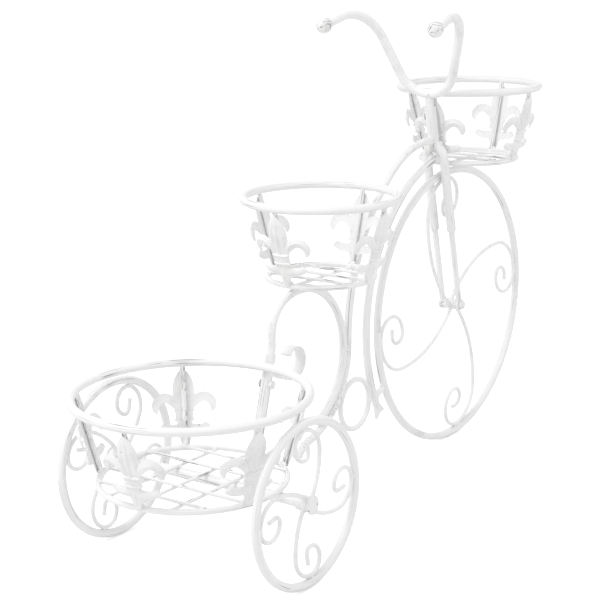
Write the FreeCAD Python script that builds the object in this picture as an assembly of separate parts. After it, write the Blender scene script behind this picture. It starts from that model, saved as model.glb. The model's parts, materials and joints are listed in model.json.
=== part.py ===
"""Tricycle-shaped wrought iron flower stand with three round baskets for pots.

Units are millimetres. +X points to the front wheel, +Y to the left, +Z up.
The origin lies on the ground, under the middle of the overall outline.
"""
import FreeCAD, Part
import math
import os

os.makedirs("parts", exist_ok=True)

V = FreeCAD.Vector

# ---------------------------------------------------------------- clearances
WELD_GAP = 0.1            # between two pieces that are welded together
FIT_GAP = 0.05            # radial, a plug in its socket or a wheel on its axle
SIDE_GAP = 0.3            # beside a wheel hub that turns

# -------------------------------------------------------------- round stock
BAR_R = 5.0               # frame bars, wheel rims and the baskets' top rings
RING_R = 3.5              # the baskets' bottom rings
ROD_R = 3.0               # upright rods of the baskets
SCROLL_R = 2.5            # scroll spokes
FLOOR_R = 2.0             # floor wires of the baskets
HANDLE_R = 6.0            # handlebar

# --------------------------------------------------------------- front wheel
FRONT_RIM_RADIUS = 186.0
GUARD_GAP = 16.0          # clear space between the front rim and the guard bar
GUARD_RADIUS = FRONT_RIM_RADIUS + 2 * BAR_R + GUARD_GAP
BACKBONE_GAP = 32.0       # clear space between the guard bar and the backbone
BACKBONE_RADIUS = GUARD_RADIUS + 2 * BAR_R + BACKBONE_GAP
FRONT_HUB_R = 7.0
FRONT_AXLE_R = 3.0
# scroll: long arc, shoulder arc, outer curl, inner curl, inner turn, tail, offset
FRONT_SCROLL = dict(long=170.0, shoulder=50.0, curl=26.0, eye=12.5, eye_turn=180.0, tail=8.0, offset=13.0)

# --------------------------------------------------------------- rear wheels
REAR_RIM_RADIUS = 92.0
REAR_TRACK = 277.0        # between the middles of the two rear wheels
REAR_HUB_R = 9.0
REAR_HUB_WIDTH = 14.0
REAR_SCROLL = dict(long=95.0, shoulder=28.0, curl=17.0, eye=7.0, eye_turn=100.0, tail=12.0, offset=-4.5)
LEFT_WHEEL_SPOKE_ANGLE = -22.0
AXLE_R = 6.0
AXLE_BORE_R = 4.5
AXLE_COLLAR_R = 8.5
AXLE_COLLAR_WIDTH = 4.0
AXLE_CAP_R = 11.0
AXLE_CAP_THICKNESS = 3.0
AXLE_CAP_PLUG = 12.0

# ------------------------------------------------------------------- baskets
SMALL_TOP_RADIUS = 93.0
SMALL_FLOOR_RADIUS = 65.0
LARGE_TOP_RADIUS = 132.0
LARGE_FLOOR_RADIUS = 105.5
BASKET_HEIGHT = 97.0
LARGE_SETBACK = 26.0      # the large basket's middle, behind the rear axle
SMALL_CROSS_WIRES = (-29.0, 0.0, 29.0)
SMALL_LONG_WIRES = (0.0,)
LARGE_CROSS_WIRES = (-72.0, -34.0, 34.0, 72.0)
LARGE_LONG_WIRES = (-42.0, 0.0, 42.0)
SMALL_FLEUR_ANGLES = (180.0, 270.0, 0.0, 90.0)
LARGE_FLEUR_ANGLES = (188.0, 252.0, 324.0, 44.0, 116.0)

# ---------------------------------------------------------- fleur-de-lis plate
# Heights are measured down from the tip of the middle petal.
PLATE_THICKNESS = 2.0
PLATE_BEND_RADIUS = 100.0
PLATE_TIP_GAP = 1.5       # petal tip below the top ring
PETAL_HALF_WIDTH = 14.5
PETAL_WIDEST = 23.0
LOBE_REACH = 41.0
LOBE_NOTCH = 31.0         # where a side petal leaves the middle one
LOBE_TOP = 27.5
LOBE_OUTER = 41.0
LOBE_TIP = 53.5
LOBE_TIP_REACH = 33.5
LOBE_WIDTH = 12.5
BAND_TOP = 49.0
BAND_FOOT = 64.0
BAND_HALF_WIDTH = 11.0
BAND_RIB_R = 2.2
PETAL_RIB_R = 2.6
FOOT_REACH = 32.0
FOOT_CURL_R = 3.5
FOOT_LOW = 77.5
TAIL_HALF_WIDTH = 9.5
TAIL_TIP = 96.0

# --------------------------------------------------------- steering and fork
RAKE = 12.0               # the steering axis leans back by this angle
HEAD_TUBE_R = 7.5
HEAD_TUBE_RISE = 24.0     # above the guard bar, along the steering axis
HEAD_TUBE_BOTTOM = GUARD_RADIUS + HEAD_TUBE_RISE
HEAD_TUBE_LENGTH = 48.0
FRONT_BASKET_DROP = 37.0  # its bottom ring, below the height that the head tube starts at if upright
STEM_R = 5.5
STEM_DEPTH = 36.0         # how far the stem reaches into the head tube
SLEEVE_R = 6.0
SLEEVE_SPREAD = 13.0      # sleeve axis from the wheel's middle plane
SLEEVE_LENGTH = 126.0
SLEEVE_BOTTOM = HEAD_TUBE_BOTTOM - SLEEVE_LENGTH
SLEEVE_BEND_HEIGHT = 22.0
FORK_ROD_R = 4.0
FORK_ROD_DEPTH = 45.0     # how far a fork rod reaches into its sleeve
LUG_R = 8.0
LUG_THICKNESS = 4.0
BRIDGE_R = 5.0

# ----------------------------------------------------------------- handlebar
HANDLE_RISE = 17.5        # above the head tube
HANDLE_BOTTOM = HEAD_TUBE_BOTTOM + HEAD_TUBE_LENGTH + HANDLE_RISE
HANDLE_HALF_BASE = 30.5
HANDLE_CORNER = (-99.0, 73.0, HANDLE_BOTTOM + 110.0)   # from the front hub, before rounding
HANDLE_END = (-182.5, 82.0, HANDLE_BOTTOM + 87.0)      # middle of the knob, from the front hub
HANDLE_BASE_BEND = 42.0
HANDLE_TOP_BEND = 56.0
KNOB_R = 10.0

# ---------------------------------------------------------------- frame bars
GUARD_END_ANGLE = 208.0
FISHTAIL_LENGTH = 14.0
FISHTAIL_WIDTH = 20.0
FISHTAIL_THICKNESS = 4.0
BACKBONE_NECK_RADIUS = 138.0
NECK_SEAT_HEIGHT = 1.123  # neck's end above the bottom of the head tube
BACKBONE_TAIL_TURN = 80.0
BACKBONE_TAIL_FLICK = (30.0, 50.0)     # radius and angle
BACKBONE_SPREAD = 6.0     # the tail's radius, beyond touching the arch
ARCH_RADIUS = 90.0
ARCH_SHOULDER_RADIUS = 45.0
ARCH_END_ANGLE = -70.0
ARCH_LEG_BEND = 15.0
ARCH_PLUG = 52.0          # how far the arch's leg reaches into the post
TIE_ANGLES = (141.0, 204.0)
TIE_R = 4.0
BRACE_RING_Z = 108.0      # middle of the brace ring
SCROLL_STRIP_WIDTH = 15.0
SCROLL_STRIP_THICKNESS = 2.5
STRIP_START_DROP = 18.0   # below the top of the post
STRIP_START_LEAN = 30.0   # between the strip's first bit and the vertical
STRIP_ARCS = ((40.0, 65.0), (20.5, 85.0), (17.5, 85.0), (14.0, 70.0))  # radius and angle

# ---------------------------------------------------------------------- post
POST_R = 6.5
POST_BORE_R = BAR_R + FIT_GAP
POST_RISE = 11.4          # above the large basket's top ring
POST_DROP = 6.6           # below its bottom ring
LARGE_UNDER_ARCH = 14.0   # how far its top ring reaches in under the arch's left side

# ----------------------------------------------------------------- fasteners
BOLT_R = 2.5
BOLT_HEAD_R = 5.5
BOLT_HEAD_HEIGHT = 4.0
NUT_FLATS = 9.0
NUT_HEIGHT = 4.0
POST_BOLT_DROP = 35.0     # below the top of the post, along it
HEAD_SCREW_DROP = 13.0    # below the top of the head tube

# --------------------------------------------------------------- key heights
FRONT_HUB_Z = FRONT_RIM_RADIUS + BAR_R
FRONT_BASKET_Z = FRONT_HUB_Z + HEAD_TUBE_BOTTOM - FRONT_BASKET_DROP
AXLE_Z = REAR_RIM_RADIUS + BAR_R
LARGE_REACH = BACKBONE_RADIUS + 2 * BAR_R + 2 * ARCH_RADIUS + LARGE_TOP_RADIUS - LARGE_UNDER_ARCH
WHEELBASE = LARGE_REACH - LARGE_SETBACK
REAR_LENGTH = WHEELBASE + LARGE_SETBACK + LARGE_TOP_RADIUS + BAR_R
FRONT_HUB_X = (REAR_LENGTH - FRONT_RIM_RADIUS - BAR_R) / 2
AXLE_X = FRONT_HUB_X - WHEELBASE
LARGE_X = AXLE_X - LARGE_SETBACK
LARGE_Z = AXLE_Z + AXLE_R + WELD_GAP + RING_R
POST_TOP_Z = LARGE_Z + BASKET_HEIGHT + POST_RISE
POST_BOTTOM_Z = LARGE_Z - POST_DROP
HUB = V(FRONT_HUB_X, 0, FRONT_HUB_Z)


# =============================================================== small tools
def polar(radius, angle):
    """Point of the wheel plane at an angle in degrees, seen with +X to the right."""
    return (radius * math.cos(math.radians(angle)), radius * math.sin(math.radians(angle)))


def on_plane(x, z):
    """Point of the upright middle plane y = 0."""
    return V(x, 0, z)


def solid_of(shape):
    """The largest solid of a boolean result."""
    return max(shape.Solids, key=lambda piece: piece.Volume)


def cylinder(radius, start, end):
    """Round bar from start to end."""
    along = end - start
    return Part.makeCylinder(radius, along.Length, start, along)


class Route:
    """Line and arc path in a plane, drawn like a turtle walks.

    Angles are in degrees and a positive turn is to the left.
    """

    def __init__(self, start, heading, place=on_plane):
        self.x, self.z = start
        self.heading = heading
        self.place = place
        self.edges = []

    def at(self):
        return self.place(self.x, self.z)

    def line(self, length):
        start = self.at()
        dx, dz = polar(length, self.heading)
        self.x += dx
        self.z += dz
        self.edges.append(Part.LineSegment(start, self.at()).toShape())
        return self

    def arc(self, radius, turn):
        side = 90.0 if turn > 0 else -90.0
        cx, cz = polar(radius, self.heading + side)
        cx += self.x
        cz += self.z
        start = self.at()
        mx, mz = polar(radius, self.heading - side + turn / 2)
        middle = self.place(cx + mx, cz + mz)
        ex, ez = polar(radius, self.heading - side + turn)
        self.x = cx + ex
        self.z = cz + ez
        self.heading += turn
        self.edges.append(Part.Arc(start, middle, self.at()).toShape())
        return self

    def wire(self):
        return Part.Wire(self.edges)


def sweep(wire, radius):
    """Round bar along a wire of tangent lines and arcs."""
    first = wire.Edges[0]
    start = first.valueAt(first.FirstParameter)
    along = first.tangentAt(first.FirstParameter)
    profile = Part.Wire([Part.Circle(start, along, radius).toShape()])
    return wire.makePipeShell([profile], True, False)


def rounded_wire(points, radii):
    """Wire through the points, with each inner corner rounded by its radius."""
    edges = []
    start = points[0]
    for before, corner, after, radius in zip(points, points[1:], points[2:], radii):
        back = (before - corner).normalize()
        ahead = (after - corner).normalize()
        half = back.getAngle(ahead) / 2
        reach = radius / math.tan(half)
        first = corner + back * reach
        last = corner + ahead * reach
        inward = (back + ahead).normalize()
        middle = corner + inward * (radius / math.sin(half) - radius)
        edges.append(Part.LineSegment(start, first).toShape())
        edges.append(Part.Arc(first, middle, last).toShape())
        start = last
    edges.append(Part.LineSegment(start, points[-1]).toShape())
    return Part.Wire(edges)


def hexagon(flats, height, base, along):
    """Hexagonal prism, measured across its flats."""
    corner_r = flats / 2 / math.cos(math.pi / 6)
    points = [V(*polar(corner_r, 60.0 * i), 0) for i in range(7)]
    nut = Part.Face(Part.makePolygon(points)).extrude(V(0, 0, height))
    nut.Placement = FreeCAD.Placement(base, FreeCAD.Rotation(V(0, 0, 1), along))
    return nut


def round_head(radius, height, base, along):
    """Domed bolt head: part of a ball on a flat base."""
    ball_r = (radius ** 2 + height ** 2) / (2 * height)
    ball = Part.makeSphere(ball_r, V(0, 0, height - ball_r))
    head = ball.common(Part.makeCylinder(radius, height))
    head.Placement = FreeCAD.Placement(base, FreeCAD.Rotation(V(0, 0, 1), along))
    return head


def steered(shape):
    """Move a fork piece, drawn upright over the hub, onto the leaning steering axis."""
    leaned = shape.copy()
    leaned.rotate(V(0, 0, 0), V(0, 1, 0), -RAKE)
    leaned.translate(HUB)
    return leaned


def save(name, *solids):
    """Write one node. Several separate solids share it as a group."""
    shape = solids[0] if len(solids) == 1 else Part.makeCompound(list(solids))
    shape.exportStep("parts/" + name + ".step")


# ==================================================================== wheels
def scroll_spoke(shape, rim_radius):
    """Scroll in the wheel plane, with its tip on the +X side of the hub."""
    reach = rim_radius - BAR_R - SCROLL_R - WELD_GAP - shape["shoulder"]
    shoulder_x = math.sqrt(reach ** 2 - shape["offset"] ** 2)
    shoulder_z = shape["offset"] + shape["shoulder"]
    centre_z = shoulder_z - shape["long"]
    start_turn = math.degrees(math.atan2(shoulder_x, -centre_z))
    start_x, start_z = polar(shape["long"], 90 + start_turn)
    route = Route((shoulder_x + start_x, centre_z + start_z), start_turn)
    route.arc(shape["long"], -start_turn)
    route.arc(shape["shoulder"], -90)
    route.arc(shape["curl"], -180)
    route.arc(shape["eye"], -shape["eye_turn"])
    route.line(shape["tail"])
    return sweep(route.wire(), SCROLL_R)


def scroll_spokes(shape, rim_radius, hub_radius, first_angle, mirrored):
    """Four scrolls between hub and rim."""
    one = scroll_spoke(shape, rim_radius)
    seat = Part.makeCylinder(hub_radius + WELD_GAP, 4 * SCROLL_R, V(0, -2 * SCROLL_R, 0), V(0, 1, 0))
    one = solid_of(one.cut(seat))
    if mirrored:
        one = one.mirror(V(0, 0, 0), V(0, 0, 1))
    spokes = []
    for i in range(4):
        turned = one.copy()
        turned.rotate(V(0, 0, 0), V(0, 1, 0), -(first_angle + 90.0 * i))
        spokes.append(turned)
    return spokes


def make_front_wheel():
    rim = Part.makeTorus(FRONT_RIM_RADIUS, BAR_R, HUB, V(0, 1, 0))
    save("front_rim", rim)
    spokes = scroll_spokes(FRONT_SCROLL, FRONT_RIM_RADIUS, FRONT_HUB_R, 0.0, False)
    for spoke in spokes:
        spoke.translate(HUB)
    save("front_spokes", *spokes)

    half = SLEEVE_SPREAD - LUG_THICKNESS / 2 - WELD_GAP
    side = V(0, half, 0)
    hub = cylinder(FRONT_HUB_R, HUB - side, HUB + side)
    hub = hub.cut(cylinder(FRONT_AXLE_R + FIT_GAP, HUB - side * 2, HUB + side * 2))
    save("front_hub", hub)


def make_rear_wheel(side_name, side):
    """side is +1 for the left wheel and -1 for the right one."""
    middle = V(AXLE_X, side * REAR_TRACK / 2, AXLE_Z)
    save("rear_rim_" + side_name, Part.makeTorus(REAR_RIM_RADIUS, BAR_R, middle, V(0, 1, 0)))

    first_angle = LEFT_WHEEL_SPOKE_ANGLE if side > 0 else 0.0
    spokes = scroll_spokes(REAR_SCROLL, REAR_RIM_RADIUS, REAR_HUB_R, first_angle, True)
    for spoke in spokes:
        spoke.translate(middle)
    save("rear_spokes_" + side_name, *spokes)

    half = V(0, REAR_HUB_WIDTH / 2, 0)
    hub = cylinder(REAR_HUB_R, middle - half, middle + half)
    hub = hub.cut(cylinder(AXLE_R + FIT_GAP, middle - half * 2, middle + half * 2))
    save("rear_hub_" + side_name, hub)


def make_rear_axle():
    hub_inner = REAR_TRACK / 2 - REAR_HUB_WIDTH / 2
    hub_outer = REAR_TRACK / 2 + REAR_HUB_WIDTH / 2
    centre = V(AXLE_X, 0, AXLE_Z)
    end = V(0, hub_outer + SIDE_GAP - WELD_GAP, 0)
    axle = cylinder(AXLE_R, centre - end, centre + end)
    axle = axle.cut(cylinder(AXLE_BORE_R, centre - end * 2, centre + end * 2))
    save("rear_axle", axle)

    collars = []
    caps = []
    for side in (1, -1):
        out = V(0, side, 0)
        inner = centre + out * (hub_inner - SIDE_GAP - AXLE_COLLAR_WIDTH)
        outer = centre + out * (hub_inner - SIDE_GAP)
        collar = cylinder(AXLE_COLLAR_R, inner, outer)
        collars.append(collar.cut(cylinder(AXLE_R + FIT_GAP, inner - out, outer + out)))
        face = centre + out * (hub_outer + SIDE_GAP)
        cap = round_head(AXLE_CAP_R, AXLE_CAP_THICKNESS, face, out)
        plug = cylinder(AXLE_BORE_R - FIT_GAP, face - out * AXLE_CAP_PLUG, face + out)
        caps.append(cap.fuse(plug).removeSplitter().Solids[0])
    save("axle_collars", *collars)
    save("axle_caps", *caps)


# =================================================================== baskets
def fleur_outline():
    """Closed outline of the plate, x across and y up, with the middle petal's tip at y = 0."""
    notch = V(PETAL_HALF_WIDTH - 1.0, -LOBE_NOTCH, 0)
    widest = V(PETAL_HALF_WIDTH, -PETAL_WIDEST, 0)
    lobe_peak = V((notch.x + LOBE_REACH) / 2 - 2.0, -LOBE_TOP, 0)
    lobe_outer = V(LOBE_REACH, -LOBE_OUTER, 0)
    lobe_tip = V(LOBE_TIP_REACH, -LOBE_TIP, 0)
    lobe_heel = lobe_tip + V(-3.5, 0.5, 0)
    under_peak = V(lobe_peak.x - 4.5, -LOBE_TOP - LOBE_WIDTH, 0)
    waist = V(BAND_HALF_WIDTH, -BAND_TOP, 0)
    ankle = V(BAND_HALF_WIDTH, -BAND_FOOT, 0)
    curl = V(FOOT_REACH - FOOT_CURL_R, -BAND_FOOT - FOOT_CURL_R, 0)
    curl_in = curl + V(-FOOT_CURL_R, -1.5, 0)
    curl_out = curl + V(FOOT_CURL_R, -2.0, 0)
    instep = V((ankle.x + curl_in.x) / 2, -BAND_FOOT - 5.5, 0)
    sole = V(FOOT_REACH - 11.0, -FOOT_LOW, 0)
    hip = V(TAIL_HALF_WIDTH, -FOOT_LOW - 1.5, 0)
    tail_tip = V(0, -TAIL_TIP, 0)
    right = [
        Part.Arc(V(0, 0, 0), V(PETAL_HALF_WIDTH * 0.76, -PETAL_WIDEST * 0.42, 0), widest),
        Part.LineSegment(widest, notch),
        Part.Arc(notch, lobe_peak, lobe_outer),
        Part.Arc(lobe_outer, (lobe_outer + lobe_tip) / 2 + V(2.6, -1.3, 0), lobe_tip),
        Part.LineSegment(lobe_tip, lobe_heel),
        Part.Arc(lobe_heel, lobe_heel + V(-2.8, 9.0, 0), under_peak),
        Part.Arc(under_peak, (under_peak + waist) / 2 + V(-1.8, 2.2, 0), waist),
        Part.LineSegment(waist, ankle),
        Part.Arc(ankle, instep, curl_in),
        Part.Arc(curl_in, curl + V(0, FOOT_CURL_R, 0), curl_out),
        Part.Arc(curl_out, (curl_out + sole) / 2 + V(2.5, -2.0, 0), sole),
        Part.LineSegment(sole, hip),
        Part.Arc(hip, (hip + tail_tip) / 2 + V(1.2, -0.8, 0), tail_tip),
    ]
    edges = [curve.toShape() for curve in right]
    edges += [edge.mirror(V(0, 0, 0), V(1, 0, 0)) for edge in edges]
    return Part.Wire(Part.__sortEdges__(edges))


def make_fleur():
    """Plate with u along X and v along Z, its back face on y = 0 and its front at +Y."""
    flat = Part.Face(fleur_outline())
    flat.rotate(V(0, 0, 0), V(1, 0, 0), 90)
    depth = 30.0
    flat.translate(V(0, depth / 2, 0))
    block = flat.extrude(V(0, -depth, 0))
    length = TAIL_TIP + 10.0
    base = V(0, -PLATE_BEND_RADIUS, -length + 5.0)
    shell = Part.makeCylinder(PLATE_BEND_RADIUS + PLATE_THICKNESS, length, base)
    shell = shell.cut(Part.makeCylinder(PLATE_BEND_RADIUS, length, base))
    plate = solid_of(block.common(shell))

    front = PLATE_THICKNESS
    rib_top = V(0, front, -PETAL_WIDEST / 4)
    rib_foot = V(0, front, -BAND_TOP - 1.0)
    ribs = [Part.makeCone(0.6, PETAL_RIB_R, (rib_foot - rib_top).Length, rib_top, rib_foot - rib_top)]
    for level in (-BAND_TOP - BAND_RIB_R, -BAND_FOOT + BAND_RIB_R):
        ribs.append(cylinder(BAND_RIB_R, V(-BAND_HALF_WIDTH, front - 0.5, level),
                             V(BAND_HALF_WIDTH, front - 0.5, level)))
    plate = plate.fuse(ribs).removeSplitter()
    behind = Part.makeCylinder(PLATE_BEND_RADIUS, length, base)
    return solid_of(plate.cut(behind))


FLEUR = make_fleur()


def basket(floor_z, top_radius, floor_radius, cross, along, angles):
    """Open wire basket round the Z axis, as a dictionary of its pieces.

    It has two rings, upright rods, floor wires in two layers and a plate on every rod.
    """
    foot = V(floor_radius, 0, floor_z)
    head = V(top_radius, 0, floor_z + BASKET_HEIGHT)
    slant = (head - foot).Length
    lean = math.degrees(math.atan2(head.x - foot.x, BASKET_HEIGHT))
    floor_seat = Part.makeTorus(floor_radius, RING_R + WELD_GAP, V(0, 0, floor_z))
    top_seat = Part.makeTorus(top_radius, BAR_R + WELD_GAP, V(0, 0, head.z))

    rod = solid_of(cylinder(ROD_R, foot, head).cut([floor_seat, top_seat]))
    rod_seat = cylinder(ROD_R + WELD_GAP, foot, head)
    plate = FLEUR.copy()
    plate.rotate(V(0, 0, 0), V(0, 0, 1), -90)
    plate.translate(V(ROD_R + WELD_GAP, 0, slant - BAR_R - PLATE_TIP_GAP))
    plate.rotate(V(0, 0, 0), V(0, 1, 0), lean)
    plate.translate(foot)
    plate = solid_of(plate.cut(floor_seat))
    rods = []
    plates = []
    seats = [floor_seat]
    for angle in angles:
        for source, group in ((rod, rods), (plate, plates), (rod_seat, seats)):
            turned = source.copy()
            turned.rotate(V(0, 0, 0), V(0, 0, 1), angle)
            group.append(turned)

    lower_z = floor_z - RING_R + FLOOR_R
    upper_z = lower_z + 2 * FLOOR_R + WELD_GAP
    wires = []
    for level, offsets, crosswise in ((lower_z, along, False), (upper_z, cross, True)):
        for offset in offsets:
            half = math.sqrt(floor_radius ** 2 - offset ** 2)
            way = V(0, half, 0) if crosswise else V(half, 0, 0)
            side = V(offset, 0, 0) if crosswise else V(0, offset, 0)
            middle = V(0, 0, level) + side
            wires.append(solid_of(cylinder(FLOOR_R, middle - way, middle + way).cut(seats)))
    return dict(top_ring=[Part.makeTorus(top_radius, BAR_R, V(0, 0, head.z))],
                floor_ring=[Part.makeTorus(floor_radius, RING_R, V(0, 0, floor_z))],
                rods=rods, floor_wires=wires, fleurs=plates)


def place_basket(name, pieces, x):
    """Move a basket along X and write its nodes."""
    for piece, solids in pieces.items():
        for solid in solids:
            solid.translate(V(x, 0, 0))
        save(name + "_basket_" + piece, *solids)


def seated_x(pieces, start_x, way, fixed):
    """Where a basket that slides along X, way +1 or -1, comes to rest against a fixed piece."""
    facing = [solid for solid in pieces["fleurs"] + pieces["rods"] if solid.CenterOfMass.x * way > 0]
    moving = Part.makeCompound(facing + pieces["floor_ring"])
    x = start_x
    for _ in range(20):
        shifted = moving.copy()
        shifted.translate(V(x, 0, 0))
        room = shifted.distToShape(fixed)[0] - WELD_GAP
        if room < WELD_GAP / 10:
            break
        x += way * room
    return x


# ==================================================================== frame
def arch_centre():
    """The arch circle just touches the backbone beside the front hub's height."""
    gap = BACKBONE_RADIUS + 2 * BAR_R + WELD_GAP + ARCH_RADIUS
    return FRONT_HUB_X - gap, FRONT_HUB_Z


def post_line():
    """Top point, bottom point and lean of the post, which touches both rings of the large basket."""
    top = V(LARGE_X + LARGE_TOP_RADIUS, 0, LARGE_Z + BASKET_HEIGHT)
    foot = V(LARGE_X + LARGE_FLOOR_RADIUS, 0, LARGE_Z)
    wall = top - foot
    wall_lean = math.degrees(math.atan2(wall.x, wall.z))
    extra = math.degrees(math.asin((BAR_R - RING_R) / wall.Length))
    lean = wall_lean + extra
    off_x, off_z = polar(BAR_R + POST_R + WELD_GAP, -lean)
    slope = math.tan(math.radians(lean))
    axis_x = top.x + off_x
    axis_z = top.z + off_z

    def at(z):
        return V(axis_x + (z - axis_z) * slope, 0, z)

    return at(POST_TOP_Z), at(POST_BOTTOM_Z), lean


def neck_arc():
    """Where round the wheel the neck leaves the backbone's circle, and its turn up to the steering axis."""
    seat = HEAD_TUBE_BOTTOM + NECK_SEAT_HEIGHT
    inner = BACKBONE_RADIUS - BACKBONE_NECK_RADIUS
    cosine = (inner ** 2 + seat ** 2 - BACKBONE_NECK_RADIUS ** 2) / (2 * inner * seat)
    leave = 90 + RAKE + math.degrees(math.acos(cosine))
    centre_x, centre_z = polar(inner, leave)
    end_x, end_z = polar(seat, 90 + RAKE)
    return leave, leave - math.degrees(math.atan2(end_z - centre_z, end_x - centre_x))


def make_backbone(head_tube):
    """Outer bar: from the head tube round the wheel, then back under the arch to a free tail."""
    neck_angle, neck_turn = neck_arc()
    neck_x, neck_z = polar(BACKBONE_RADIUS, neck_angle)
    neck = Route((HUB.x + neck_x, HUB.z + neck_z), neck_angle - 90)
    neck.arc(BACKBONE_NECK_RADIUS, -neck_turn)
    start = (neck.x, neck.z)
    route = Route(start, neck.heading + 180)
    route.arc(BACKBONE_NECK_RADIUS, neck_turn)
    route.arc(BACKBONE_RADIUS, 180 - neck_angle)
    tail_radius = ARCH_RADIUS + 2 * BAR_R + BACKBONE_SPREAD
    route.arc(tail_radius, -BACKBONE_TAIL_TURN)
    route.arc(*BACKBONE_TAIL_FLICK)
    bar = solid_of(sweep(route.wire(), BAR_R).cut(head_tube))
    save("backbone_bar", bar)
    return bar


def make_guard():
    """Bar round the back of the front wheel, from the fork bridge to a hammered fishtail."""
    end_x, end_z = polar(GUARD_RADIUS, GUARD_END_ANGLE)
    end = on_plane(HUB.x + end_x, HUB.z + end_z)
    route = Route((HUB.x + polar(GUARD_RADIUS, 90 + RAKE)[0], HUB.z + polar(GUARD_RADIUS, 90 + RAKE)[1]),
                  180 + RAKE)
    route.arc(GUARD_RADIUS, GUARD_END_ANGLE - 90 - RAKE)
    bar = sweep(route.wire(), BAR_R)
    bridge_end = V(0, SLEEVE_SPREAD, 0)
    bridge_middle = V(0, 0, GUARD_RADIUS)
    bridge = cylinder(BRIDGE_R + WELD_GAP, bridge_middle - bridge_end, bridge_middle + bridge_end)
    bar = solid_of(bar.cut(steered(bridge)))

    half_y = FISHTAIL_THICKNESS / 2
    narrow = BAR_R * 0.8
    wide = FISHTAIL_WIDTH / 2
    points = [V(-narrow, 0, 4.0), V(narrow, 0, 4.0),
              V(wide, 0, -FISHTAIL_LENGTH), V(0, 0, -FISHTAIL_LENGTH + 3.0),
              V(-wide, 0, -FISHTAIL_LENGTH)]
    tail = Part.Face(Part.makePolygon(points + points[:1])).extrude(V(0, 2 * half_y, 0))
    tail.translate(V(0, -half_y, 0))
    tail.rotate(V(0, 0, 0), V(0, 1, 0), 180 - GUARD_END_ANGLE)
    tail.translate(end)
    save("guard_bar", bar.fuse(tail).removeSplitter().Solids[0])


def make_brace_ring():
    """Ring that just touches the guard bar and the outside of the backbone's lower bend."""
    tail_radius = ARCH_RADIUS + 2 * BAR_R + BACKBONE_SPREAD
    tail_centre = FRONT_HUB_X - BACKBONE_RADIUS - tail_radius
    touch = WELD_GAP + BAR_R + RING_R
    between = FRONT_HUB_X - tail_centre
    low, high = 5.0, 80.0
    drop = FRONT_HUB_Z - BRACE_RING_Z
    for _ in range(60):
        radius = (low + high) / 2
        from_hub = math.sqrt((GUARD_RADIUS + touch + radius) ** 2 - drop ** 2)
        from_tail = math.sqrt((tail_radius + touch + radius) ** 2 - drop ** 2)
        if from_hub + from_tail > between:
            high = radius
        else:
            low = radius
    centre = on_plane(FRONT_HUB_X - from_hub, BRACE_RING_Z)
    save("brace_ring", Part.makeTorus(radius, RING_R, centre, V(0, 1, 0)))


def make_ties():
    """Two short pins that join the guard bar to the front rim."""
    ties = []
    for angle in TIE_ANGLES:
        inner = HUB + on_plane(*polar(FRONT_RIM_RADIUS, angle))
        outer = HUB + on_plane(*polar(GUARD_RADIUS, angle))
        tie = cylinder(TIE_R, inner, outer)
        rim = Part.makeTorus(FRONT_RIM_RADIUS, BAR_R + WELD_GAP, HUB, V(0, 1, 0))
        guard = Part.makeTorus(GUARD_RADIUS, BAR_R + WELD_GAP, HUB, V(0, 1, 0))
        ties.append(solid_of(tie.cut(rim).cut(guard)))
    save("rim_ties", *ties)


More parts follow.
